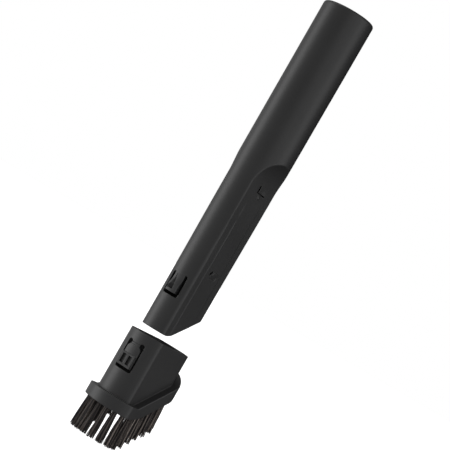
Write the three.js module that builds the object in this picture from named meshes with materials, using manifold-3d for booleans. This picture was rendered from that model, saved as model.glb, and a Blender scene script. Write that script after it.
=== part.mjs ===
// Crevice tool with a sliding dusting brush, for a 35 mm vacuum cleaner wand.
// Millimetres, +Z up. The origin is the centre of the wand socket's mouth and the tool hangs down from it.
// The latch and the button are on the -Y side, the nozzle's flats face +X and -X.

import * as THREE from 'three';
import { mergeVertices } from 'three/addons/utils/BufferGeometryUtils.js';
import { ConvexGeometry } from 'three/addons/geometries/ConvexGeometry.js';
import Module from 'manifold-3d';

const wasm = await Module();
wasm.setup();

// ---- driving dimensions ----

const GAP = 0.3; // between pieces that would touch
const OVER = 2; // how far a cutting shape runs past what it cuts
const ROUND_SEGMENTS = 72;

const TUBE_LENGTH = 264;
const TUBE_TOP_RADIUS = 20;
const TUBE_TIP_RADIUS = 19.05;
const SOCKET_RADIUS = 17.5;
const SOCKET_DEPTH = 45;
const DUCT_RADIUS = 16.6;
const FLAT_WALL = 2.4;

const FLAT_TOP = 11.6; // half the width across the flats below the scoops
const FLAT_TIP = 11.2;
const SCOOP_TOP_Z = -117.3;
const SCOOP_END_Z = -138.5;
const SCOOP_LIFT = 1.6; // the duct's scoop sits this much higher, to keep the wall even

const SLANT = THREE.MathUtils.degToRad(40);
const TIP_CORNER_Y = -8.6;
const TIP_CORNER_RADIUS = 3;

const NOTCH_TOPS = [-138.8, -208.8]; // stored place, place in use
const NOTCH = { width: 9.2, height: 5, depth: 0.6, y: 1.4 };
const NUB = { radius: 1.55, tipRadius: 0.8, rise: 0.25, y: 0.4, z: -146.9 };

const TONGUE = { top: -220.3, bottom: -235.3, half: 4.65, rise: 1.25 };
const TONGUE_WINDOW = { bottom: -237.5, half: 6.2 };
const TONGUE_RAMP = { start: -225.7, end: -230 };
const TONGUE_POCKET = { apex: -221.8, bottom: -233.2, apexX: -1.9, left: -5, right: 1, depth: 2.9 };

const SLEEVE_RADIUS = 23.3;
const SLEEVE_FLAT = 15.9;
const SLEEVE_WALL = 2.2;
const SLEEVE_TOP = -269.6;
const DETENT = { z: -275.4, width: 7.6, height: 3.6, tip: 11.95 };

const RIM_RADIUS = 28.6;
const RIM_FLAT = 21.8;
const RIM_TOP = -317.5;
const RIM_BOTTOM = -326.9;
const RIM_SLANT = THREE.MathUtils.degToRad(41.4);
const RIM_TOP_BREAK_Y = -10.9;
const RIM_BOTTOM_BREAK_Y = -8;

const BUTTON_WINDOW = { top: -276.6, bottom: -298.9, half: 7.8 };
const BUTTON_HINGE_Z = -279.7;
const BUTTON = { half: 6.4, shoulder: 2.3, bottom: -296.9, webHalf: 4.1 };
const BUTTON_PAD = { top: -287.1, rise: 0.8, half: 6.2 };
const BUTTON_RECESS = { top: -288.4, bottom: -295.1, inner: 1.05, outer: 4.7, depth: 2 };

const TUFT_COUNT = 25;
const TUFT_RING_RADIUS = 24.1;
const TUFT_RING_FLAT = 17.2;
const TUFT = { rootRadius: 1.75, tipRadius: 2.35, free: 23.8, inside: 6, fold: 1 };
const TUFT_SEGMENTS = 8;
const ANCHOR = { length: 5, width: 0.45, height: 1.6, above: 3.1 };

const tubeRadius = (z) => TUBE_TOP_RADIUS + (TUBE_TIP_RADIUS - TUBE_TOP_RADIUS) * (-z / TUBE_LENGTH);
const rimUnderside = (y) => RIM_BOTTOM + Math.max(0, y - RIM_BOTTOM_BREAK_Y) * Math.tan(RIM_SLANT);

// ---- materials ----

const blackPlastic = () => new THREE.MeshStandardMaterial({ color: 0x2e2e2f, roughness: 0.42, metalness: 0 });
const bristle = () => new THREE.MeshStandardMaterial({ color: 0x3f3733, roughness: 0.6, metalness: 0 });
const steel = () => new THREE.MeshStandardMaterial({ color: 0xa8a8a8, roughness: 0.35, metalness: 1 });

// ---- solids ----

function solidOf(geometry) {
  const bare = geometry.index ? geometry.toNonIndexed() : geometry.clone();
  bare.deleteAttribute('normal');
  bare.deleteAttribute('uv');
  const merged = mergeVertices(bare, 1e-4);
  const mesh = new wasm.Mesh({
    numProp: 3,
    vertProperties: Float32Array.from(merged.attributes.position.array),
    triVerts: Uint32Array.from(merged.index.array),
  });
  return new wasm.Manifold(mesh);
}

function meshOf(name, solid, material) {
  const { vertProperties, triVerts, numProp } = solid.getMesh();
  const positions = new Float32Array((vertProperties.length / numProp) * 3);
  for (let i = 0; i < positions.length / 3; i += 1) {
    positions.set(vertProperties.subarray(i * numProp, i * numProp + 3), i * 3);
  }
  const geometry = new THREE.BufferGeometry();
  geometry.setAttribute('position', new THREE.BufferAttribute(positions, 3));
  geometry.setIndex(new THREE.BufferAttribute(Uint32Array.from(triVerts), 1));
  geometry.computeVertexNormals();
  const mesh = new THREE.Mesh(geometry, material);
  mesh.name = name;
  return mesh;
}

function box(lowX, highX, lowY, highY, lowZ, highZ) {
  const geometry = new THREE.BoxGeometry(highX - lowX, highY - lowY, highZ - lowZ);
  geometry.translate((lowX + highX) / 2, (lowY + highY) / 2, (lowZ + highZ) / 2);
  return solidOf(geometry);
}

// Turns an outline of [radius, z] points about the Z axis.
function turned(outline, segments = ROUND_SEGMENTS) {
  const geometry = new THREE.LatheGeometry(outline.map(([r, z]) => new THREE.Vector2(r, z)), segments);
  geometry.rotateX(Math.PI / 2);
  return solidOf(geometry);
}

function rod(radius, lowZ, highZ, segments = ROUND_SEGMENTS) {
  return turned([[0, lowZ], [radius, lowZ], [radius, highZ], [0, highZ]], segments);
}

// Extrudes an outline drawn in (x, z) along Y, centred on y = 0.
function alongY(outline, width) {
  const geometry = new THREE.ExtrudeGeometry(outline, { depth: width, bevelEnabled: false, curveSegments: 10 });
  geometry.rotateX(Math.PI / 2);
  geometry.translate(0, width / 2, 0);
  return solidOf(geometry);
}

// Extrudes an outline drawn in (y, z) along X, centred on x = 0.
function alongX(outline, width) {
  const geometry = new THREE.ExtrudeGeometry(outline, { depth: width, bevelEnabled: false, curveSegments: 10 });
  geometry.applyMatrix4(new THREE.Matrix4().makeBasis(
    new THREE.Vector3(0, 1, 0), new THREE.Vector3(0, 0, 1), new THREE.Vector3(1, 0, 0)));
  geometry.translate(-width / 2, 0, 0);
  return solidOf(geometry);
}

const mirroredX = (solid) => solid.mirror([1, 0, 0]);

// A disc cut by two parallel flats at x = +flat and x = -flat, extruded from lowZ to highZ.
function flattedPrism(radius, flat, lowZ, highZ) {
  const corner = Math.acos(flat / radius);
  const outline = new THREE.Shape();
  outline.absarc(0, 0, radius, corner, Math.PI - corner);
  outline.absarc(0, 0, radius, Math.PI + corner, -corner);
  outline.closePath();
  const geometry = new THREE.ExtrudeGeometry(outline, {
    depth: highZ - lowZ, bevelEnabled: false, curveSegments: ROUND_SEGMENTS / 3,
  });
  geometry.translate(0, 0, lowZ);
  return solidOf(geometry);
}

// ---- crevice tube and its latch ----

// What is milled away beside a flat: a concave ramp down from the round tube, then the flat itself.
function scoop(inset, lift) {
  const outer = TUBE_TOP_RADIUS + OVER;
  const low = -TUBE_LENGTH - OVER;
  const outline = new THREE.Shape();
  outline.moveTo(outer, low);
  outline.lineTo(outer, SCOOP_TOP_Z + lift + OVER);
  outline.lineTo(TUBE_TOP_RADIUS + 0.2 - inset, SCOOP_TOP_Z + lift);
  outline.quadraticCurveTo(13 - inset, -126.2 + lift, FLAT_TOP - inset, SCOOP_END_Z + lift);
  outline.lineTo(FLAT_TIP - inset, low);
  outline.closePath();
  return alongY(outline, 2 * outer);
}

function bothScoops(inset, lift) {
  const right = scoop(inset, lift);
  return right.add(mirroredX(right));
}

function duct() {
  const wide = rod(SOCKET_RADIUS, -SOCKET_DEPTH, OVER);
  const narrow = rod(DUCT_RADIUS, -TUBE_LENGTH - OVER, -SOCKET_DEPTH + 1);
  return wide.add(narrow.subtract(bothScoops(FLAT_WALL, SCOOP_LIFT)));
}

// Everything below the tip's edge: square across the front, slanted up towards the back.
function belowTip() {
  const back = TUBE_TOP_RADIUS + OVER;
  const rise = (back - TIP_CORNER_Y) * Math.tan(SLANT);
  const round = TIP_CORNER_RADIUS;
  const outline = new THREE.Shape();
  outline.moveTo(-back, -TUBE_LENGTH);
  outline.lineTo(TIP_CORNER_Y - round, -TUBE_LENGTH);
  outline.quadraticCurveTo(TIP_CORNER_Y, -TUBE_LENGTH,
    TIP_CORNER_Y + round * Math.cos(SLANT), -TUBE_LENGTH + round * Math.sin(SLANT));
  outline.lineTo(back, -TUBE_LENGTH + rise);
  outline.lineTo(back, -TUBE_LENGTH - 2 * OVER);
  outline.lineTo(-back, -TUBE_LENGTH - 2 * OVER);
  outline.closePath();
  return alongX(outline, 2 * back);
}

function notches() {
  const reach = FLAT_TOP + OVER;
  const y = NOTCH.y;
  return NOTCH_TOPS.map((top, i) => {
    const floor = FLAT_TOP + (FLAT_TIP - FLAT_TOP) * i / 2 - NOTCH.depth;
    return box(floor, reach, y - NOTCH.width / 2, y + NOTCH.width / 2, top - NOTCH.height, top);
  }).reduce((all, one) => all.add(one));
}

// The low round bump under the upper notch, rooted in the wall.
function nub() {
  const root = FLAT_WALL / 2;
  const geometry = new THREE.LatheGeometry([[0, -root], [NUB.radius, -root], [NUB.radius, 0],
    [NUB.tipRadius, NUB.rise], [0, NUB.rise]].map(([r, h]) => new THREE.Vector2(r, h)), 20);
  geometry.rotateZ(-Math.PI / 2);
  geometry.translate(FLAT_TOP, NUB.y, NUB.z);
  return solidOf(geometry);
}

function creviceTube() {
  const body = turned([[0, -TUBE_LENGTH - 1], [tubeRadius(-TUBE_LENGTH - 1), -TUBE_LENGTH - 1],
    [TUBE_TOP_RADIUS, 0], [0, 0]]);
  const rightNotches = notches();
  const rightNub = nub();
  const window = box(-TONGUE_WINDOW.half, TONGUE_WINDOW.half, -TUBE_TOP_RADIUS - OVER, -SOCKET_RADIUS / 2,
    TONGUE_WINDOW.bottom, TONGUE.top);
  return body
    .subtract(bothScoops(0, 0))
    .subtract(duct())
    .subtract(belowTip())
    .subtract(rightNotches.add(mirroredX(rightNotches)))
    .add(rightNub.add(mirroredX(rightNub)))
    .subtract(window);
}

function latchTongue() {
  const inner = DUCT_RADIUS + GAP / 2;
  const outer = tubeRadius(TONGUE.bottom);
  const top = TONGUE.top - GAP;
  const ring = turned([[inner, TONGUE.bottom], [outer + TONGUE.rise, TONGUE.bottom],
    [outer + TONGUE.rise, TONGUE_RAMP.end], [outer, TONGUE_RAMP.start], [outer, top], [inner, top],
    [inner, TONGUE.bottom]]);
  const strip = box(-TONGUE.half, TONGUE.half, -TUBE_TOP_RADIUS - OVER, 0, TONGUE.bottom - 1, top + 1);
  const face = outer + TONGUE.rise;
  const pocket = new ConvexGeometry([
    new THREE.Vector3(TONGUE_POCKET.apexX, -outer, TONGUE_POCKET.apex),
    new THREE.Vector3(TONGUE_POCKET.apexX, -face - 1, TONGUE_POCKET.apex),
    new THREE.Vector3(TONGUE_POCKET.left, -face - 1, TONGUE_POCKET.bottom),
    new THREE.Vector3(TONGUE_POCKET.right, -face - 1, TONGUE_POCKET.bottom),
    new THREE.Vector3(TONGUE_POCKET.right, -face + TONGUE_POCKET.depth, TONGUE_POCKET.bottom),
  ]);
  return ring.intersect(strip).subtract(solidOf(pocket));
}

// ---- brush ----

// The collar's slab seen from the side: level across the front, slanted up towards the back.
function rimSlab() {
  const reach = RIM_RADIUS + OVER;
  const topRise = (reach - RIM_TOP_BREAK_Y) * Math.tan(RIM_SLANT);
  const outline = new THREE.Shape();
  outline.moveTo(-reach, RIM_TOP);
  outline.lineTo(-reach, RIM_BOTTOM);
  outline.lineTo(RIM_BOTTOM_BREAK_Y, RIM_BOTTOM);
  outline.lineTo(reach, rimUnderside(reach));
  outline.lineTo(reach, RIM_TOP + topRise);
  outline.lineTo(RIM_TOP_BREAK_Y, RIM_TOP);
  outline.closePath();
  return alongX(outline, 2 * reach);
}

function belowRim() {
  const reach = RIM_RADIUS + OVER;
  const outline = new THREE.Shape();
  outline.moveTo(-reach, RIM_BOTTOM - OVER);
  outline.lineTo(reach, RIM_BOTTOM - OVER);
  outline.lineTo(reach, rimUnderside(reach));
  outline.lineTo(RIM_BOTTOM_BREAK_Y, RIM_BOTTOM);
  outline.lineTo(-reach, RIM_BOTTOM);
  outline.closePath();
  return alongX(outline, 2 * reach);
}

// Points at equal spacing along the middle of the collar's slanted underside, the first at the nose.
function tuftPlaces() {
  const corner = Math.acos(TUFT_RING_FLAT / TUFT_RING_RADIUS);
  const ring = new THREE.Path();
  ring.absarc(0, 0, TUFT_RING_RADIUS, -Math.PI / 2, -corner);
  ring.absarc(0, 0, TUFT_RING_RADIUS, corner, Math.PI - corner);
  ring.absarc(0, 0, TUFT_RING_RADIUS, Math.PI + corner, 1.5 * Math.PI);
  const points = ring.getSpacedPoints(720).map((p) => new THREE.Vector3(p.x, p.y, rimUnderside(p.y)));
  const lengths = [0];
  for (let i = 1; i < points.length; i += 1) {
    lengths.push(lengths[i - 1] + points[i].distanceTo(points[i - 1]));
  }
  const pitch = lengths[lengths.length - 1] / TUFT_COUNT;
  return Array.from({ length: TUFT_COUNT }, (_, k) => {
    const i = Math.max(1, lengths.findIndex((length) => length >= k * pitch));
    const along = (k * pitch - lengths[i - 1]) / (lengths[i] - lengths[i - 1]);
    const ahead = points[i].clone().sub(points[i - 1]);
    return {
      place: points[i - 1].clone().lerp(points[i], along),
      turn: Math.atan2(ahead.y, ahead.x),
    };
  });
}

function placed(solid, { place, turn }) {
  return solid.rotate([0, 0, THREE.MathUtils.radToDeg(turn)]).translate([place.x, place.y, place.z]);
}

// One tuft's hole with the slots that its anchor bites into, its mouth at z = 0.
function tuftHole() {
  const hole = rod(TUFT.rootRadius + GAP, -4 * OVER, TUFT.inside + GAP, TUFT_SEGMENTS);
  return hole.add(anchor(GAP));
}

function anchor(grow) {
  const length = ANCHOR.length / 2 + grow;
  const width = ANCHOR.width / 2 + grow;
  return box(-length, length, -width, width, ANCHOR.above - grow, ANCHOR.above + ANCHOR.height + grow);
}

function tuft() {
  const bundle = turned([[0, -TUFT.free], [TUFT.tipRadius, -TUFT.free], [TUFT.rootRadius, 0],
    [TUFT.rootRadius, TUFT.inside], [0, TUFT.inside]], TUFT_SEGMENTS);
  return bundle.subtract(anchor(GAP));
}

function buttonWindow() {
  const { half, top, bottom } = BUTTON_WINDOW;
  const near = -SLEEVE_RADIUS - OVER;
  const opening = box(-half, half, near, -SLEEVE_RADIUS / 2, bottom, BUTTON_HINGE_Z);
  const ear = box(BUTTON.webHalf, half, near, -SLEEVE_RADIUS / 2, BUTTON_HINGE_Z - 1, top);
  return opening.add(ear).add(mirroredX(ear));
}

function detents() {
  const wall = SLEEVE_FLAT - SLEEVE_WALL;
  const foot = wall + 1;
  const low = DETENT.z - DETENT.height / 2;
  const high = DETENT.z + DETENT.height / 2;
  const bump = box(DETENT.tip, foot, NOTCH.y - DETENT.width / 2, NOTCH.y + DETENT.width / 2, low, high);
  return bump.add(mirroredX(bump));
}

function brushBody(places) {
  const sleeve = flattedPrism(SLEEVE_RADIUS, SLEEVE_FLAT, RIM_BOTTOM - OVER / 2, SLEEVE_TOP);
  const rim = flattedPrism(RIM_RADIUS, RIM_FLAT, RIM_BOTTOM - OVER, SLEEVE_TOP).intersect(rimSlab());
  const cavity = flattedPrism(SLEEVE_RADIUS - SLEEVE_WALL, SLEEVE_FLAT - SLEEVE_WALL,
    RIM_BOTTOM - 2 * OVER, SLEEVE_TOP + OVER);
  const holes = places.map((spot) => placed(tuftHole(), spot)).reduce((all, one) => all.add(one));
  return sleeve.subtract(belowRim())
    .add(rim)
    .subtract(cavity)
    .subtract(buttonWindow())
    .subtract(holes)
    .add(detents());
}

function releaseButton() {
  const inner = SLEEVE_RADIUS - SLEEVE_WALL;
  const outer = SLEEVE_RADIUS;
  const top = BUTTON_HINGE_Z - GAP;
  const face = outer + BUTTON_PAD.rise;
  const plate = turned([[inner, BUTTON.bottom], [outer, BUTTON.bottom], [outer, top], [inner, top],
    [inner, BUTTON.bottom]]);
  const outline = new THREE.Shape();
  outline.moveTo(-BUTTON.half, BUTTON.bottom - 1);
  outline.lineTo(BUTTON.half, BUTTON.bottom - 1);
  outline.lineTo(BUTTON.half, top - BUTTON.shoulder);
  outline.lineTo(BUTTON.webHalf, top);
  outline.lineTo(-BUTTON.webHalf, top);
  outline.lineTo(-BUTTON.half, top - BUTTON.shoulder);
  outline.closePath();
  const front = box(-outer, outer, -face - OVER, 0, BUTTON.bottom - OVER, top + OVER);
  const pad = turned([[inner + 1, BUTTON.bottom], [face + OVER, BUTTON.bottom], [face + OVER, BUTTON_PAD.top],
    [inner + 1, BUTTON_PAD.top], [inner + 1, BUTTON.bottom]]);
  const padFront = box(-BUTTON_PAD.half, BUTTON_PAD.half, -face, 0, BUTTON.bottom - 1, BUTTON_PAD.top + 1);
  const recess = box(BUTTON_RECESS.inner, BUTTON_RECESS.outer, -face - OVER, -face + BUTTON_RECESS.depth,
    BUTTON_RECESS.bottom, BUTTON_RECESS.top);
  return plate.intersect(alongY(outline, 3 * outer)).intersect(front)
    .add(pad.intersect(padFront))
    .subtract(recess.add(mirroredX(recess)));
}

// ---- assembly ----

const two = (number) => String(number).padStart(2, '0');
const places = tuftPlaces();

const tool = new THREE.Group();
tool.add(meshOf('crevice_tube', creviceTube(), blackPlastic()));
tool.add(meshOf('latch_tongue', latchTongue(), blackPlastic()));

const brush = new THREE.Group();
brush.add(meshOf('brush_body', brushBody(places), blackPlastic()));
brush.add(meshOf('release_button', releaseButton(), blackPlastic()));
places.forEach(({ place, turn }, k) => {
  const tuftMesh = meshOf(`bristle_tuft_${two(k + 1)}`, tuft(), bristle());
  const anchorMesh = meshOf(`tuft_anchor_${two(k + 1)}`, anchor(0), steel());
  for (const mesh of [tuftMesh, anchorMesh]) {
    mesh.position.copy(place);
    mesh.rotation.z = turn;
    brush.add(mesh);
  }
});
tool.add(brush);

export default tool;
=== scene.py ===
import math

import bpy
import numpy as np
from mathutils import Matrix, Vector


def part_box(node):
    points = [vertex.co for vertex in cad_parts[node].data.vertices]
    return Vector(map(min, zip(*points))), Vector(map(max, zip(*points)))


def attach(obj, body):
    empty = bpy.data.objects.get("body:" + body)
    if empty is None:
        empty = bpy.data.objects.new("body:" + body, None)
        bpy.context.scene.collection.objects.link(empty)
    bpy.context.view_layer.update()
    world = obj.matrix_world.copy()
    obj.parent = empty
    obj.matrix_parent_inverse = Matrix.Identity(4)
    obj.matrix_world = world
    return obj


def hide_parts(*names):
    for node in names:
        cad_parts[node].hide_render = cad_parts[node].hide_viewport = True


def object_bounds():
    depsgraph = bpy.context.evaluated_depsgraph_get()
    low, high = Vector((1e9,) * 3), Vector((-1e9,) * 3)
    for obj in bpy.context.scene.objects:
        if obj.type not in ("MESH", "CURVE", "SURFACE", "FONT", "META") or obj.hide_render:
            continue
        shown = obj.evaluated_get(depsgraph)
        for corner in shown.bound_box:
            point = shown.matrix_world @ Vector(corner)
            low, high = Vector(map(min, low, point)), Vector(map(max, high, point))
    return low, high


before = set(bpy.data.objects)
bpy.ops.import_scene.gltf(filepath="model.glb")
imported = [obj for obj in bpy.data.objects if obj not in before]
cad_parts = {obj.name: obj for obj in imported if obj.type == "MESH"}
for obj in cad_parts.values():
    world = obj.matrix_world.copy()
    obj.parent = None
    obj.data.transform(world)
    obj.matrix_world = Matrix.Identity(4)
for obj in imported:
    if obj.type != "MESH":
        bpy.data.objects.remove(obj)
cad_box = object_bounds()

# A crevice tool with a dusting brush, for a 35 mm vacuum wand. It hangs from its wand socket, which is at
# the origin, and the latch and button face -Y. Shapes are worked out in millimetres and cast in metres.

MM = 0.001
COARSE = 1.0


def span(node):
    """A CAD node's lowest and highest corners, in millimetres."""
    low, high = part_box(node)
    return np.array(low) / MM, np.array(high) / MM


# ---- sizes, in millimetres ----

tube_low, tube_high = span("crevice_tube")
brush_low, brush_high = span("brush_body")
latch_low, latch_high = span("latch_tongue")
button_low, button_high = span("release_button")

TUBE_LENGTH = tube_high[2] - tube_low[2]
TUBE_TOP_RADIUS = tube_high[0]
TUBE_TIP_RADIUS = 19.05
SOCKET_RADIUS = 17.5
SOCKET_DEPTH = 45
SOCKET_ROUND = 2.3
DUCT_RADIUS = 16.6
FLAT_WALL = 2.4
FLAT_TOP, FLAT_TIP = 11.6, 11.2  # half widths across the flats
SCOOP_TOP, SCOOP_END = -118.0, -138.5
SCOOP_BEND = (13.0, -126.2)
SCOOP_LIFT = 1.6
PANEL_HALF, PANEL_RISE, PANEL_START, PANEL_FADE = 8.4, 0.14, -150, 12
STORED_LEFT, STORED_RIGHT, STORED_TOP, STORED_BOTTOM = -3.0, 6.0, -138.8, -144.0
NUB_Y, NUB_Z, NUB_DEPTH, NUB_RADIUS = 0.6, -147.2, 2.1, 2.72
WORKING_TOP, WORKING_LEAN = -208.6, 0.43
SLANT = math.radians(40)
TIP_CORNER_Y = -8.6
TONGUE_WINDOW_HALF, TONGUE_WINDOW_END = 6.5, -237.5
FRONT_ONLY = 8  # windows are cut only where y is below minus this

SLEEVE_RADIUS, SLEEVE_FLAT, SLEEVE_WALL = 23.3, 15.9, 2.2
RIM_RADIUS, RIM_FLAT = 28.6, brush_high[0]
RIM_TOP, RIM_BOTTOM = -317.5, brush_low[2]
RIM_TOP_BREAK, RIM_BOTTOM_BREAK = -10.9, -8.0
RIM_SLANT = math.radians(41.4)

TUFTS = [f"bristle_tuft_{k:02d}" for k in range(1, 26)]
ANCHORS = [f"tuft_anchor_{k:02d}" for k in range(1, 26)]
TUFT_RADIUS, TUFT_FREE, HOLE_DEPTH, HOLE_RADIUS = 1.75, 23.8, 6.3, 2.05
STRANDS = 84  # bristles in a tuft
LOCKS, LOCK_RING = 13, 1.2  # they lie in locks that fade together
ALONG = np.array([0, 0.14, 0.3, 0.48, 0.66, 0.84, 1.0])  # where a bristle has its points
TAPER = np.array([1, 1, 1, 1, 1, 1, 0.6])  # and how thick it is there


# ---- moulding kit: distance fields, negative inside the plastic ----


def keep(a, b, radius):
    """What is inside both fields, with its outer edge rounded."""
    rounded = np.hypot(np.maximum(a + radius, 0), np.maximum(b + radius, 0))
    return np.minimum(np.maximum(a, b), -radius) + rounded


def join(a, b, radius):
    """What is inside either field, with a fillet where they meet."""
    fillet = np.hypot(np.maximum(radius - a, 0), np.maximum(radius - b, 0))
    return np.maximum(np.minimum(a, b), radius) - fillet


def cut(a, b, radius):
    """What is inside a and outside b, with a rounded edge."""
    return keep(a, -b, radius)


def between(value, low, high):
    """The field of a slab from low to high."""
    return np.maximum(low - value, value - high)


def ease(value, start, end):
    """0 at start, 1 at end, smooth between."""
    t = np.clip((value - start) / (end - start), 0, 1)
    return t * t * (3 - 2 * t)


def flatted(x, y, radius, flat, edge):
    """A round bar with two flats that face +X and -X."""
    return keep(np.hypot(x, y) - radius, np.abs(x) - flat, edge)


def steps(low, high, step):
    """Lattice lines from low to high, a step apart."""
    return np.linspace(low, high, max(2, round((high - low) / (step * COARSE)) + 1))


def bands(start, *stretches):
    """Lattice lines with their own step on each stretch, given as (end, step), from the lowest up."""
    lines = [np.array([start])]
    for end, step in stretches:
        lines.append(steps(lines[-1][-1], end, step)[1:])
    return np.concatenate(lines)


def slopes(field, points, reach=0.02):
    """A field's value and gradient at an array of points."""
    value = field(*points.T)
    sides = [field(*(points + reach * axis).T) - field(*(points - reach * axis).T) for axis in np.eye(3)]
    return value, np.stack(sides, 1) / (2 * reach)


def cast(name, field, xs, ys, zs):
    """Casts a field's surface as a mesh of quads: one point in each lattice cell that the surface crosses,
    moved onto the surface, and one face for each lattice edge that it crosses."""
    volume = field(xs[:, None, None], ys[None, :, None], zs[None, None, :])
    volume = np.broadcast_to(volume, (len(xs), len(ys), len(zs)))
    inside = volume < 0
    cells = tuple(n - 1 for n in inside.shape)
    corners = [inside[i:i + cells[0], j:j + cells[1], k:k + cells[2]]
               for i in (0, 1) for j in (0, 1) for k in (0, 1)]
    crossed = np.logical_or.reduce(corners) & ~np.logical_and.reduce(corners)
    number = np.full(cells, -1, np.int64)
    number[crossed] = np.arange(crossed.sum())
    where = np.argwhere(crossed)
    lines = (xs, ys, zs)
    low = np.stack([lines[a][where[:, a]] for a in range(3)], 1)
    high = np.stack([lines[a][where[:, a] + 1] for a in range(3)], 1)
    total, count = np.zeros_like(low), np.zeros(len(low))
    faces = []
    for axis in range(3):
        head = [slice(None)] * 3
        tail = [slice(None)] * 3
        head[axis], tail[axis] = slice(0, -1), slice(1, None)
        a, b = volume[tuple(head)], volume[tuple(tail)]
        edges = np.argwhere((a < 0) != (b < 0))
        first, second = a[tuple(edges.T)], b[tuple(edges.T)]
        spot = np.stack([lines[k][edges[:, k]] for k in range(3)], 1)
        gap = lines[axis][edges[:, axis] + 1] - lines[axis][edges[:, axis]]
        spot[:, axis] += gap * first / (first - second)
        others = [k for k in range(3) if k != axis]
        whole = np.all([(edges[:, k] > 0) & (edges[:, k] < inside.shape[k] - 1) for k in others], 0)
        edges, spot, flip = edges[whole], spot[whole], (first > 0)[whole]
        around = []
        for du, dv in ((-1, -1), (0, -1), (0, 0), (-1, 0)):
            cell = edges.copy()
            cell[:, others[0]] += du
            cell[:, others[1]] += dv
            index = number[tuple(cell.T)]
            np.add.at(total, index, spot)
            np.add.at(count, index, 1)
            around.append(index)
        quad = np.stack(around, 1)
        turned = flip if axis != 1 else ~flip
        quad[turned] = quad[turned][:, ::-1]
        faces.append(quad)
    points = total / np.maximum(count, 1)[:, None]
    for _ in range(4):
        value, slope = slopes(field, points)
        points -= (value / np.maximum((slope ** 2).sum(1), 1e-6))[:, None] * slope
        points = np.clip(points, low, high)
    return mesh_piece(name, points, np.concatenate(faces), field)


def mesh_piece(name, points, quads, field):
    """A smooth mesh object in metres, with its convex edges marked in an attribute that the black finish
    lightens: partly wear, partly a painted edge highlight.
    """
    mesh = bpy.data.meshes.new(name)
    mesh.vertices.add(len(points))
    mesh.vertices.foreach_set("co", (points * MM).astype(np.float32).ravel())
    mesh.loops.add(quads.size)
    mesh.loops.foreach_set("vertex_index", quads.astype(np.int32).ravel())
    mesh.polygons.add(len(quads))
    mesh.polygons.foreach_set("loop_start", np.arange(0, quads.size, 4, dtype=np.int32))
    mesh.update(calc_edges=True)
    mesh.validate()
    mesh.shade_smooth()
    normals = slopes(field, points)[1]
    normals /= np.maximum(np.linalg.norm(normals, axis=1), 1e-6)[:, None]
    mesh.normals_split_custom_set_from_vertices(normals.tolist())
    reach = 0.5
    around = sum(field(*(points + side * reach * axis).T) for axis in np.eye(3) for side in (1, -1))
    bend = (around - 6 * field(*points.T)) / reach ** 2
    # How convex each point is. The black finish lightens such edges, partly as wear and partly as a painted
    # highlight along the edge fillets.
    rubbed = mesh.attributes.new("rubbed", "FLOAT", "POINT")
    rubbed.data.foreach_set("value", np.clip((bend - 0.8) / 1.6, 0, 1).astype(np.float32))
    piece = bpy.data.objects.new(name, mesh)
    bpy.context.scene.collection.objects.link(piece)
    return piece


def finish_piece(piece, body, slot, material, *nodes):
    """Gives a piece its finish and its body, and hides the CAD nodes it stands for. The slot argument is not
    used.
    """
    piece.data.materials.append(material)
    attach(piece, body)
    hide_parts(*nodes)


# ---- crevice tube ----


def tube_radius(z):
    return TUBE_TOP_RADIUS + (TUBE_TOP_RADIUS - TUBE_TIP_RADIUS) * z / TUBE_LENGTH


def scoop_curve():
    """The side view of a scoop and its flat: heights, lowest first, and the half widths there."""
    t = np.linspace(1, 0, 25)
    start, end = (TUBE_TOP_RADIUS + 0.2, SCOOP_TOP), (FLAT_TOP, SCOOP_END)
    x, z = (start[i] * (1 - t) ** 2 + 2 * SCOOP_BEND[i] * t * (1 - t) + end[i] * t ** 2 for i in (0, 1))
    return np.concatenate([[-TUBE_LENGTH], z, [SCOOP_TOP + 5]]), np.concatenate([[FLAT_TIP], x, [x[-1] + 5]])


SCOOP_Z, SCOOP_X = scoop_curve()


def half_width(z):
    """Half the tube's width across its flats and scoops."""
    return np.interp(z, SCOOP_Z, SCOOP_X)


def slot_window(x, z, half, low, high, corner):
    return keep(np.abs(x) - half, between(z, low, high), corner)


def thin_panel(y, z):
    """How far the long panel down the middle of a flat stands out."""
    width = ease(np.abs(y), PANEL_HALF + 0.25, PANEL_HALF - 0.25)
    return PANEL_RISE * width * ease(z, PANEL_START, PANEL_START - PANEL_FADE)


def stored_detent(x, y, z):
    """The upper mark on a flat: a shallow ramp, cut free and undercut along its left and lower edges."""
    depth = FLAT_TOP - np.abs(x)
    fall = np.clip((STORED_TOP - z) / (STORED_TOP - STORED_BOTTOM), 0, 1)
    sink = 0.5 * fall * np.clip((STORED_RIGHT - y) / 4, 0, 1)
    outline = np.maximum(between(y, STORED_LEFT, STORED_RIGHT), between(z, STORED_BOTTOM, STORED_TOP))
    ramp = keep(depth - sink, outline, 0.1)
    left_slit = np.maximum(between(y, STORED_LEFT - 1.1, STORED_LEFT + 0.3 + depth),
                           between(z, STORED_BOTTOM - 0.5, STORED_TOP - 0.2))
    lower_slit = np.maximum(between(y, STORED_LEFT - 1.1, STORED_RIGHT + 0.2),
                            between(z + 0.03 * (y - STORED_LEFT), STORED_BOTTOM - 1, STORED_BOTTOM - 0.1))
    return np.minimum(ramp, np.maximum(np.minimum(left_slit, lower_slit), depth - 2.1))


def stored_nub(x, y, z):
    """The low dome under the upper mark."""
    inward = np.abs(x) - FLAT_TOP + NUB_DEPTH
    return np.sqrt(inward ** 2 + (y - NUB_Y) ** 2 + (z - NUB_Z) ** 2) - NUB_RADIUS


def working_lean(y, z):
    """How far right of the lower mark's leaning left side a point is."""
    return y - WORKING_LEAN * (z - WORKING_TOP)


def working_mark(y, z):
    """How far the lower mark stands out of a flat: a leaning patch, proud at its top, sunk at its bottom."""
    lean, drop = working_lean(y, z), WORKING_TOP - z
    patch = ease(lean, -0.2, 0.4) * ease(lean, 6.6, 6.0) * ease(drop, -0.3, 0.3) * ease(drop, 5.6, 5.0)
    return patch * (0.55 - 0.22 * drop)


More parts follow.
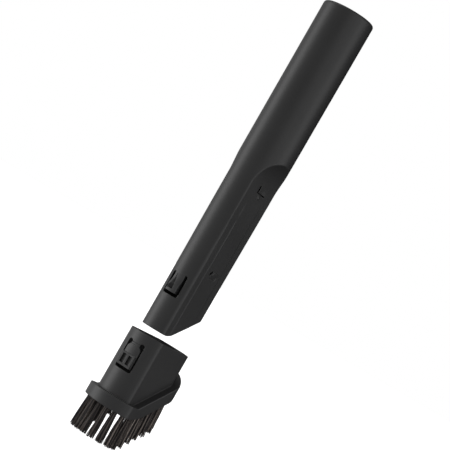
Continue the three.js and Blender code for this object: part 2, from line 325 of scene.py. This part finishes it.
def working_hole(x, y, z):
    """The hole beside the upper left corner of the lower mark."""
    height = between(z, WORKING_TOP - 3, WORKING_TOP + 0.4)
    outline = keep(between(working_lean(y, z), -3.2, -1.3), height, 0.9)
    return np.maximum(outline, FLAT_TOP - 2 - np.abs(x))


def slanted_tip(y, z):
    """The field of what lies above the tip's two cuts, one level and one slanted."""
    slanted = ((y - TIP_CORNER_Y) * math.tan(SLANT) - TUBE_LENGTH - z) * math.cos(SLANT)
    return keep(-TUBE_LENGTH - z, slanted, 2.6)


def tube_field(x, y, z):
    across, around = np.abs(x), np.hypot(x, y)
    rise = thin_panel(y, z) + working_mark(y, z)
    body = keep(around - tube_radius(z), (across - half_width(z) - rise) * 0.9,
                0.5 + 0.6 * ease(-z, 160, 210))
    body = keep(body, z, SOCKET_ROUND)
    duct = keep(around - DUCT_RADIUS, (across - half_width(z - SCOOP_LIFT) + FLAT_WALL) * 0.9, 0.8)
    socket = np.maximum(around - SOCKET_RADIUS, -SOCKET_DEPTH - z)
    body = np.maximum(body, -np.minimum(duct, socket))
    body = keep(body, slanted_tip(y, z), 0.45)
    body = np.minimum(body, stored_nub(x, y, z))
    body = cut(cut(body, stored_detent(x, y, z), 0.12), working_hole(x, y, z), 0.12)
    window = slot_window(x, z, TONGUE_WINDOW_HALF, TONGUE_WINDOW_END, latch_high[2], 1.0)
    return cut(body, np.maximum(window, y + FRONT_ONLY), 0.2)


# ---- latch tongue ----

LATCH_RISE, LATCH_RISE_START, LATCH_RISE_END = 1.25, -224.6, -230.2
POCKET_APEX, POCKET_END, POCKET_SHALLOW, POCKET_DEEP = -221.8, -233.2, 0.5, 3.7


def latch_pocket(x, y, z, outer):
    """The scoop in the tongue: it starts at a point, widens downwards and sinks to its right side."""
    along = np.clip((POCKET_APEX - z) / (POCKET_APEX - POCKET_END), 0, 1)
    left = -2.1 - 0.5 * along - 2.4 * ease(along, 0.55, 1)
    right = -1.75 + 2.7 * ease(along, 0.1, 0.85)
    sunk = (POCKET_SHALLOW + (POCKET_DEEP - POCKET_SHALLOW) * along) * (x - left) / (right - left)
    surface = -np.sqrt(np.maximum(outer * outer - x * x, 1))
    outline = np.maximum(between(z, POCKET_END, POCKET_APEX), x - right)
    return keep((y - surface - sunk) * 0.7, outline, 0.2)


def latch_field(x, y, z):
    around = np.hypot(x, y)
    top, bottom = latch_high[2] + 0.7, latch_low[2]
    outer = tube_radius(z) + LATCH_RISE * ease(z, LATCH_RISE_START, LATCH_RISE_END)
    plate = keep(around - outer, DUCT_RADIUS + 0.15 - around, 0.35)
    plate = keep(plate, np.abs(x) - latch_high[0], 0.35)
    plate = keep(np.maximum(plate, y), bottom - z, 0.3)
    plate = np.maximum(plate, z - top)
    return cut(plate, latch_pocket(x, y, z, outer), 0.25)


# ---- brush body ----


def tuft_spot(node):
    """A tuft's centre and the height at which it leaves the collar."""
    low, high = span(node)
    return (low[0] + high[0]) / 2, (low[1] + high[1]) / 2, low[2] + TUFT_FREE


TUFT_SPOTS = [tuft_spot(node) for node in TUFTS]
WINDOW_HALF, WINDOW_TOP, WINDOW_BOTTOM = 7.8, -277.1, -299.1
WEB_HALF, WEB_BOTTOM = 4.1, -279.9
GROOVE_Z, GROOVE_RADIUS = -278.3, 0.4
BUMP = {"rise": 1.75, "left": -2.4, "right": 5.2, "bottom": -277.2, "top": -273.6}


def above_slant(y, z, corner_y, corner_z):
    """How far a point lies above the plane that rises to +Y at the collar's slant, from a corner."""
    return (z - corner_z - (y - corner_y) * math.tan(RIM_SLANT)) * math.cos(RIM_SLANT)


def sleeve_and_rim(x, y, z):
    """The brush body's outside."""
    under = keep(RIM_BOTTOM - z, -above_slant(y, z, RIM_BOTTOM_BREAK, RIM_BOTTOM), 6)
    over = join(z - RIM_TOP, above_slant(y, z, RIM_TOP_BREAK, RIM_TOP), 1)
    sleeve = keep(flatted(x, y, SLEEVE_RADIUS, SLEEVE_FLAT, 1.1), z - brush_high[2], 0.5)
    rim = keep(flatted(x, y, RIM_RADIUS, RIM_FLAT, 1.2), over, 0.5)
    return keep(join(sleeve, rim, 0.5), under, 0.6)


def button_window(x, y, z):
    """The window round the button, with an ear on each side of the web that the button hangs on."""
    across = np.abs(x)
    opening = keep(across - WINDOW_HALF, between(z, WINDOW_BOTTOM, WEB_BOTTOM + 1.5), 1.4)
    opening = np.maximum(opening, z - WEB_BOTTOM)
    ears = keep(between(across, WEB_HALF, WINDOW_HALF), between(z, WEB_BOTTOM - 2, WINDOW_TOP), 1.3)
    return np.maximum(join(opening, ears, 0.4), y + FRONT_ONLY)


def web_groove(x, y, z):
    """The thin groove across the web, where it bends."""
    groove = np.hypot(np.hypot(x, y) - SLEEVE_RADIUS, z - GROOVE_Z) - GROOVE_RADIUS
    return np.maximum(np.maximum(groove, np.abs(x) - WEB_HALF), y)


def detent_bump(x, y, z):
    """The bump inside each flat of the sleeve that clicks into the marks on the tube."""
    wall = SLEEVE_FLAT - SLEEVE_WALL
    outline = np.maximum(between(y, BUMP["left"], BUMP["right"]), between(z, BUMP["bottom"], BUMP["top"]))
    return np.maximum(between(np.abs(x), wall - BUMP["rise"], wall + 0.5), outline)


def brush_field(x, y, z):
    cavity = flatted(x, y, SLEEVE_RADIUS - SLEEVE_WALL, SLEEVE_FLAT - SLEEVE_WALL, 1)
    body = cut(sleeve_and_rim(x, y, z), cavity, 0.5)
    body = cut(body, button_window(x, y, z), 0.3)
    body = cut(body, web_groove(x, y, z), 0.1)
    body = join(body, detent_bump(x, y, z), 0.3)
    for cx, cy, mouth in TUFT_SPOTS:
        hole = np.maximum(np.hypot(x - cx, y - cy) - HOLE_RADIUS, z - mouth - HOLE_DEPTH)
        body = cut(body, hole, 0.2)
    return body


# ---- release button ----

PAD_TOP, PAD_FACE, PAD_HALF = -287.1, -24.1, 6.2
RECESS = {"inner": 1.05, "outer": 4.7, "bottom": -295.1, "top": -288.4, "depth": 1.7}


def button_field(x, y, z):
    around, across = np.hypot(x, y), np.abs(x)
    top, bottom = button_high[2] + 0.2, button_low[2]
    plate = keep(keep(around - SLEEVE_RADIUS, across - button_high[0], 0.3), z - top, 0.3)
    plate = keep(plate, (across - WEB_HALF + z - top) / math.sqrt(2), 0.3)
    pad = keep(keep(PAD_FACE - y, across - PAD_HALF, 0.4), z - PAD_TOP, 0.4)
    body = keep(join(plate, pad, 0.25), bottom - z, 0.35)
    body = np.maximum(keep(body, SLEEVE_RADIUS - SLEEVE_WALL - around, 0.3), y)
    outline = keep(between(across, RECESS["inner"], RECESS["outer"]),
                   between(z, RECESS["bottom"], RECESS["top"]), 0.3)
    return cut(body, np.maximum(outline, y - PAD_FACE - RECESS["depth"]), 0.2)


# ---- bristles ----


def sunflower(count, turn):
    """Points spread evenly over a disc of radius 1."""
    ring = np.sqrt((np.arange(count) + 0.5) / count)
    angle = np.arange(count) * math.pi * (3 - math.sqrt(5)) + turn
    return np.stack([ring * np.cos(angle), ring * np.sin(angle)], 1)


def lock_middles(turn):
    """Where the locks of a tuft start: one in the middle, the others in a ring."""
    spin = turn + np.arange(LOCKS - 1) * 2 * math.pi / (LOCKS - 1)
    return np.concatenate([[[0, 0]], LOCK_RING * np.stack([np.cos(spin), np.sin(spin)], 1)])


def strand_paths(rng, spot, tip):
    """Centre lines of one tuft's bristles, as an array of strands by points by xyz, and the lock of each."""
    cx, cy, mouth = spot
    root = sunflower(STRANDS, rng.uniform(0, 6.28)) * (TUFT_RADIUS + 0.1)
    middles = lock_middles(rng.uniform(0, 6.28))
    lock = np.linalg.norm(root[:, None] - middles, axis=2).argmin(1)
    outward = np.array([cx, cy]) / math.hypot(cx, cy)
    stray = np.where(rng.random(STRANDS) < 0.06, 0.9, 0.25)[:, None]
    lean = outward * rng.uniform(0.3, 1.0) + rng.normal(0, 0.2, 2)
    gather = (middles * 1.5 + rng.normal(0, 0.25, (LOCKS, 2)))[lock]
    end = root * 1.05 + gather * 0.4 + lean + rng.normal(0, 1, (STRANDS, 2)) * stray
    start_z = mouth + HOLE_DEPTH - 1
    end_z = (tip + 0.1 + rng.normal(0, 0.3, LOCKS)[lock] + rng.normal(0, 0.3, STRANDS))[:, None]
    curl = rng.normal(0, 0.3, (LOCKS, 2))[lock]
    z = start_z - ALONG * (start_z - end_z)
    free = np.clip((z - mouth) / (end_z - mouth), 0, 1)[..., None]
    flat = root[:, None] + (end - root)[:, None] * free ** 1.3 + curl[:, None] * np.sin(free * math.pi)
    return np.concatenate([flat + np.array([cx, cy]), z[..., None]], 2), lock


def bristle_bundle(name, rng, spot, tip):
    """One tuft as a mesh of thin four-sided bristles that taper at the tip."""
    paths, lock = strand_paths(rng, spot, tip)
    count, length, _ = paths.shape
    radius = rng.uniform(0.15, 0.21, count)[:, None] * TAPER
    turn = rng.uniform(0, math.pi, count)[:, None, None] + np.arange(4) * math.pi / 2
    ring = np.stack([np.cos(turn), np.sin(turn), np.zeros_like(turn)], -1) * radius[:, :, None, None]
    points = (paths[:, :, None, :] + ring).reshape(-1, 3)
    first = (np.arange(count)[:, None] * length + np.arange(length - 1)).reshape(-1, 1) * 4
    side = np.arange(4)
    ahead = (side + 1) % 4
    quads = np.stack([first + side, first + 4 + side, first + 4 + ahead, first + ahead], -1).reshape(-1, 4)
    start = np.arange(count)[:, None] * length * 4
    caps = np.concatenate([start + side, start + (length - 1) * 4 + side[::-1]])
    mesh = bpy.data.meshes.new(name)
    mesh.from_pydata((points * MM).tolist(), [], np.concatenate([quads, caps]).tolist())
    mesh.update()
    mesh.shade_smooth()
    tone = mesh.attributes.new("tone", "FLOAT", "POINT")
    shade = 0.4 * (lock % 2) + 0.25 * rng.random(LOCKS)[lock] + 0.35 * rng.random(count)
    tone.data.foreach_set("value", np.repeat(shade, length * 4).astype(np.float32))
    piece = bpy.data.objects.new(name, mesh)
    bpy.context.scene.collection.objects.link(piece)
    return piece


# ---- finishes ----


class Wire:
    """A shader socket that takes part in Python arithmetic."""

    def __init__(self, shading, socket):
        self.shading = shading
        self.socket = socket

    def _math(self, operation, first, second):
        return self.shading.add("ShaderNodeMath", {"operation": operation}, {0: first, 1: second})

    def __add__(self, other):
        return self._math("ADD", self, other)

    def __radd__(self, other):
        return self._math("ADD", other, self)

    def __sub__(self, other):
        return self._math("SUBTRACT", self, other)

    def __rsub__(self, other):
        return self._math("SUBTRACT", other, self)

    def __mul__(self, other):
        return self._math("MULTIPLY", self, other)

    def __rmul__(self, other):
        return self._math("MULTIPLY", other, self)

    def __pow__(self, other):
        return self._math("POWER", self, other)


def set_stops(ramp, stops):
    """Fills a colour ramp from (position, colour) pairs, lowest first."""
    ends = ramp.elements[0], ramp.elements[1]
    for element, (position, colour) in zip(ends, (stops[0], stops[-1])):
        element.position, element.color = position, (*colour, 1)
    for position, colour in stops[1:-1]:
        ramp.elements.new(position).color = (*colour, 1)


class Shading:
    """The nodes of a material or of the studio's surroundings."""

    def __init__(self, owner):
        self.owner = owner
        owner.use_nodes = True
        self.tree = owner.node_tree
        self.tree.nodes.clear()

    def add(self, kind, settings=None, sockets=None, output=0):
        """Adds a node: its settings first, then the values or links of its sockets."""
        node = self.tree.nodes.new(kind)
        for key, value in (settings or {}).items():
            if key == "stops":
                set_stops(node.color_ramp, value)
            else:
                setattr(node, key, value)
        for key, value in (sockets or {}).items():
            if isinstance(value, Wire):
                self.tree.links.new(value.socket, node.inputs[key])
            else:
                node.inputs[key].default_value = value
        return Wire(self, node.outputs[output]) if node.outputs else None

    def place(self, scale):
        """Coordinates on the piece, in units of 1 / scale metres."""
        spot = self.add("ShaderNodeTexCoord", output=3)
        return self.add("ShaderNodeVectorMath", {"operation": "SCALE"}, {0: spot, "Scale": scale})

    def dot(self, first, second):
        return self.add("ShaderNodeVectorMath", {"operation": "DOT_PRODUCT"}, {0: first, 1: second}, output=1)

    def noise(self, scale, detail=3, roughness=0.5):
        return self.add("ShaderNodeTexNoise", sockets={
            "Vector": self.place(scale), "Scale": 1.0, "Detail": detail, "Roughness": roughness})

    def blend(self, factor, first, second):
        """A colour that goes from first to second with factor."""
        return self.add("ShaderNodeMix", {"data_type": "RGBA"}, {0: factor, 6: first, 7: second}, output=2)

    def ramp(self, factor, stops):
        return self.add("ShaderNodeValToRGB", {"stops": stops}, {"Fac": factor})

    def tone(self, place, reach, stops):
        """A grey that changes with place, 0 to 1. A stop's own place is counted from the middle, in units
        that make reach of the whole."""
        return self.ramp(place, [(0.5 + at / reach, (value,) * 3) for at, value in stops])

    def attribute(self, name):
        return self.add("ShaderNodeAttribute", {"attribute_name": name}, output=2)

    def bump(self, height, distance, strength):
        return self.add("ShaderNodeBump", sockets={
            "Height": height, "Distance": distance, "Strength": strength})

    def surface(self, **sockets):
        named = {key.replace("_", " "): value for key, value in sockets.items()}
        shader = self.add("ShaderNodeBsdfPrincipled", sockets=named)
        self.add("ShaderNodeOutputMaterial", sockets={"Surface": shader})
        return self.owner


def new_finish(name):
    return Shading(bpy.data.materials.new(name))


def satin_black_moulding():
    """Black ABS from a lightly spark-eroded tool: fine grain, faint flow clouds, and convex edges made
    glossier and lighter, partly as wear and partly as a painted edge highlight.
    """
    f = new_finish("satin_black_moulding")
    clouds = f.noise(45, detail=4)
    grain = f.noise(2600, detail=2, roughness=0.6)
    dust = f.noise(900, detail=5, roughness=0.7) ** 6
    # Convex-edge mask: it makes edges glossier, and lighter partly as wear and partly as a painted highlight
    # along the edge fillets.
    rubbed = f.attribute("rubbed") * (0.45 + 0.9 * f.noise(220, detail=3))
    deep, faded = (0.023, 0.023, 0.0235, 1), (0.032, 0.032, 0.0325, 1)
    colour = f.blend(clouds, deep, faded)
    # Lighter convex edges: partly wear, partly a painted edge highlight.
    colour = f.blend(rubbed * 0.45, colour, (0.085, 0.085, 0.086, 1))
    colour = f.blend(dust * 0.5, colour, (0.08, 0.078, 0.075, 1))
    rough = 0.30 + 0.07 * clouds + 0.06 * grain - 0.05 * rubbed
    normal = f.bump(grain, 0.00004, 0.35)
    return f.surface(Base_Color=colour, Roughness=rough, Normal=normal, IOR=1.5)


def brown_bristle():
    """Dark brown bristle with some sun-bleached strands, streaked along its length."""
    f = new_finish("brown_bristle")
    tone = f.attribute("tone")
    streak = f.noise(1400, detail=3)
    shade = tone * 0.75 + streak * 0.3
    colour = f.ramp(shade, [
        (0.0, (0.003, 0.002, 0.003)), (0.36, (0.010, 0.007, 0.009)), (0.52, (0.05, 0.04, 0.039)),
        (0.72, (0.17, 0.143, 0.128)), (1.0, (0.5, 0.43, 0.38))])
    rough = 0.38 + 0.2 * streak
    normal = f.bump(streak, 0.00003, 0.4)
    return f.surface(Base_Color=colour, Roughness=rough, Normal=normal, IOR=1.5)


def drawn_wire_steel():
    """Bright drawn wire, scored along its length."""
    f = new_finish("drawn_wire_steel")
    score = f.noise(3000, detail=4, roughness=0.7)
    colour = f.blend(score, (0.42, 0.41, 0.40, 1), (0.66, 0.65, 0.64, 1))
    return f.surface(Base_Color=colour, Metallic=1.0, Roughness=0.22 + 0.25 * score,
                     Normal=f.bump(score, 0.00002, 0.3))


def studio_paper():
    """The pale paper of the studio floor, softly lit through."""
    f = new_finish("studio_paper")
    tooth = f.noise(60, detail=3)
    colour = f.blend(tooth, (0.88, 0.88, 0.88, 1), (0.92, 0.92, 0.92, 1))
    return f.surface(Base_Color=colour, Roughness=0.9, Emission_Color=(1, 1, 1, 1), Emission_Strength=1.0)


# ---- camera and studio ----

VIEW_AZIMUTH, VIEW_ELEVATION, VIEW_ROLL = map(math.radians, (37.7, -1.48, 29.99))
VIEW_DISTANCE = 1.2574
VIEW_LENS, VIEW_SENSOR = 141.5, 36.0
VIEW_SIDESTEP, VIEW_MIDDLE = -0.0015, -0.17535


def view_axes():
    """Directions: back from the tool to the lens, right, and up, before the roll."""
    a, e = VIEW_AZIMUTH, VIEW_ELEVATION
    back = np.array([math.sin(a) * math.cos(e), -math.cos(a) * math.cos(e), math.sin(e)])
    right = np.array([math.cos(a), math.sin(a), 0])
    return back, right, np.cross(back, right)


def turned(right, back, place):
    """The matrix of something at place whose X is right and whose Z is back."""
    columns = np.stack([right, np.cross(back, right), back, place], 1)
    return Matrix(np.vstack([columns, [0, 0, 0, 1]]).tolist())


def set_camera():
    back, right, up = view_axes()
    aim = right * VIEW_SIDESTEP + np.array([0, 0, VIEW_MIDDLE])
    rolled_right = right * math.cos(VIEW_ROLL) + up * math.sin(VIEW_ROLL)
    data = bpy.data.cameras.new("camera")
    data.lens, data.sensor_width = VIEW_LENS, VIEW_SENSOR
    camera = bpy.data.objects.new("camera", data)
    camera.matrix_world = turned(rolled_right, back, aim + back * VIEW_DISTANCE)
    bpy.context.scene.collection.objects.link(camera)
    bpy.context.scene.camera = camera


def softbox(name, bearing, height, distance, width, tall, power, mirrored=True):
    """An area light aimed at the tool's middle. bearing is counted from the lens, in degrees, positive to
    the right. The tool mirrors it unless mirrored is False."""
    angle = VIEW_AZIMUTH + math.radians(bearing)
    middle = np.array([0, 0, VIEW_MIDDLE])
    place = middle + distance * np.array([math.sin(angle), -math.cos(angle), 0]) + np.array([0, 0, height])
    data = bpy.data.lights.new(name, "AREA")
    data.shape, data.size, data.size_y, data.energy = "RECTANGLE", width, tall, power
    light = bpy.data.objects.new(name, data)
    back = place - middle
    back /= np.linalg.norm(back)
    right = np.cross([0, 0, 1], back)
    right /= np.linalg.norm(right)
    light.matrix_world = turned(right, back, place)
    light.visible_glossy = mirrored
    bpy.context.scene.collection.objects.link(light)


def set_surroundings():
    """What the tool mirrors: the walls and the table before it, each in tones by the bearing from the lens,
    in degrees and positive to the right, and by height. The lens itself sees plain white."""
    by_bearing = [(-180, 0.26), (-150, 0.34), (-126, 0.38), (-110, 1.0), (-84, 1.06), (-66, 0.44),
                  (-12, 0.28), (6, 0.42), (16, 0.62), (55, 0.64), (84, 0.68), (94, 0.30), (106, 0.03),
                  (180, 0.0)]
    by_height = [(-1.0, 0.6), (-0.34, 0.5), (-0.17, 1.0), (0.2, 1.0), (0.45, 0.8), (0.75, 1.0), (1.0, 0.85)]
    low_bearing = [(-180, 0.1), (-110, 0.2), (-66, 0.22), (10, 0.2), (40, 0.06), (60, 0.0), (180, 0.0)]
    low_height = [(-1.0, 0.0), (-0.5, 0.2), (-0.2, 1.0), (0.0, 1.0), (0.12, 0.0), (1.0, 0.0)]
    back, right, _ = view_axes()
    world = bpy.data.worlds.new("studio")
    bpy.context.scene.world = world
    room = Shading(world)
    direction = room.add("ShaderNodeTexCoord")
    bearing = room.add("ShaderNodeMath", {"operation": "ARCTAN2"}, {
        0: room.dot(direction, right.tolist()), 1: room.dot(direction, back.tolist())})
    turn = bearing * (0.5 / math.pi) + 0.5
    rise = room.dot(direction, (0, 0, 0.5)) + 0.5
    walls = room.tone(turn, 360, by_bearing) * room.tone(rise, 2, by_height)
    table = room.tone(turn, 360, low_bearing) * room.tone(rise, 2, low_height)
    seen = room.add("ShaderNodeBackground", sockets={"Color": (1, 1, 1, 1)})
    mirrored = room.add("ShaderNodeBackground", sockets={"Color": (1, 1, 1, 1), "Strength": walls + table})
    lens = room.add("ShaderNodeLightPath")
    light = room.add("ShaderNodeMixShader", sockets={0: lens, 1: mirrored, 2: seen})
    room.add("ShaderNodeOutputWorld", sockets={"Surface": light})


def set_studio(paper):
    size, drop = 30, 0.12
    mesh = bpy.data.meshes.new("studio_floor")
    z = cad_box[0][2] - drop
    corners = [(-size, -size, z), (size, -size, z), (size, size, z), (-size, size, z)]
    mesh.from_pydata(corners, [], [(0, 1, 2, 3)])
    floor = bpy.data.objects.new("studio_floor", mesh)
    floor.data.materials.append(paper)
    floor.visible_glossy = floor.visible_diffuse = False
    bpy.context.scene.collection.objects.link(floor)
    set_surroundings()
    softbox("left_softbox", -96, -0.3, 1.8, 0.9, 1.8, 5.8)
    softbox("right_softbox", 70, 0.0, 2.0, 0.8, 1.8, 1.5)
    softbox("right_fill", 75, 0.3, 2.0, 1.2, 1.8, 14, mirrored=False)
    bpy.context.scene.view_settings.view_transform = "Standard"


# ---- assembly ----

set_camera()
set_studio(studio_paper())
black, brown, steel = satin_black_moulding(), brown_bristle(), drawn_wire_steel()

tube = cast("crevice_tube_moulding", tube_field,
            bands(-20.6, (-13.2, 0.6), (-9.4, 0.4), (9.4, 0.8), (13.2, 0.4), (20.6, 0.6)),
            bands(-20.6, (-13, 0.55), (-4.2, 0.8), (7.2, 0.3), (9.6, 0.4), (20.6, 0.75)),
            bands(-264.6, (-251, 0.5), (-238.5, 1.2), (-236.5, 0.4), (-222, 1.2), (-219.5, 0.4),
                  (-214.6, 1.6), (-207.4, 0.28), (-152, 3.5), (-149.6, 0.7), (-138, 0.28), (-113, 0.75),
                  (-50, 4), (-43, 1), (-3, 4), (0.6, 0.35)))
finish_piece(tube, "tube", "black_plastic", black, "crevice_tube")

latch = cast("latch_tongue_moulding", latch_field,
             steps(-5.2, 5.2, 0.2), steps(-21.2, -15, 0.2), steps(-236, -219.8, 0.2))
finish_piece(latch, "latch", "black_plastic", black, "latch_tongue")

brush = cast("brush_body_moulding", brush_field,
             bands(-22.4, (-14.5, 0.45), (-9, 0.7), (-3.4, 0.32), (3.4, 0.7), (9, 0.32), (14.5, 0.7),
                   (22.4, 0.45)),
             bands(-29.2, (-18.5, 0.4), (29.2, 0.5)),
             bands(-327.5, (-304, 0.45), (-299.7, 1.1), (-275.1, 0.4), (-270.5, 0.9), (-269, 0.3)))
finish_piece(brush, "brush", "black_plastic", black, "brush_body")

button = cast("release_button_moulding", button_field,
              steps(-7, 7, 0.2), steps(-24.8, -19, 0.2), steps(-297.5, -279.1, 0.2))
finish_piece(button, "button", "black_plastic", black, "release_button")

for k, (node, spot) in enumerate(zip(TUFTS, TUFT_SPOTS), 1):
    bundle = bristle_bundle(f"bristles_{k:02d}", np.random.default_rng(k), spot, span(node)[0][2])
    finish_piece(bundle, "brush", "bristle", brown, node)

for node in ANCHORS:
    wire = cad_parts[node]
    wire.data.materials.clear()
    wire.data.materials.append(steel)
